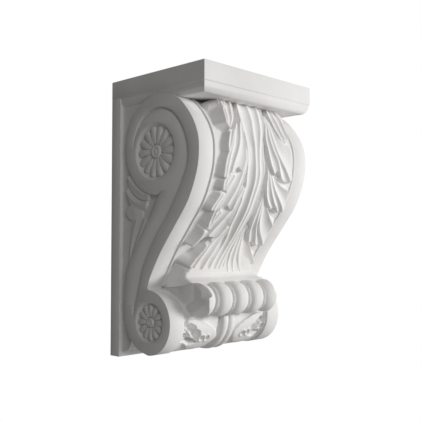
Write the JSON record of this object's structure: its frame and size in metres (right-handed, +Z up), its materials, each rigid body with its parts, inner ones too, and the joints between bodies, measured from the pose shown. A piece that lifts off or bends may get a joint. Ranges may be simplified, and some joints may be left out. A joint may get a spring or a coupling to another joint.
{
  "type": "corbel",
  "caption": "Wall corbel in cast plaster: square cap on an S-shaped scroll with side flowers, acanthus leaf front and gadrooned roll; carries a shelf, beam or arch end.",
  "frame": {"origin": "middle of the flat back face that goes on the wall", "axes": "+Z up, +Y into the wall, so the front faces -Y; X runs along the wall"},
  "size_m": [0.2026, 0.167, 0.35],
  "materials": {
    "plaster": "matt off-white cast gypsum plaster, unpainted"
  },
  "bodies": {
    "root": {"corbel": "plaster"}
  },
  "joints": []
}
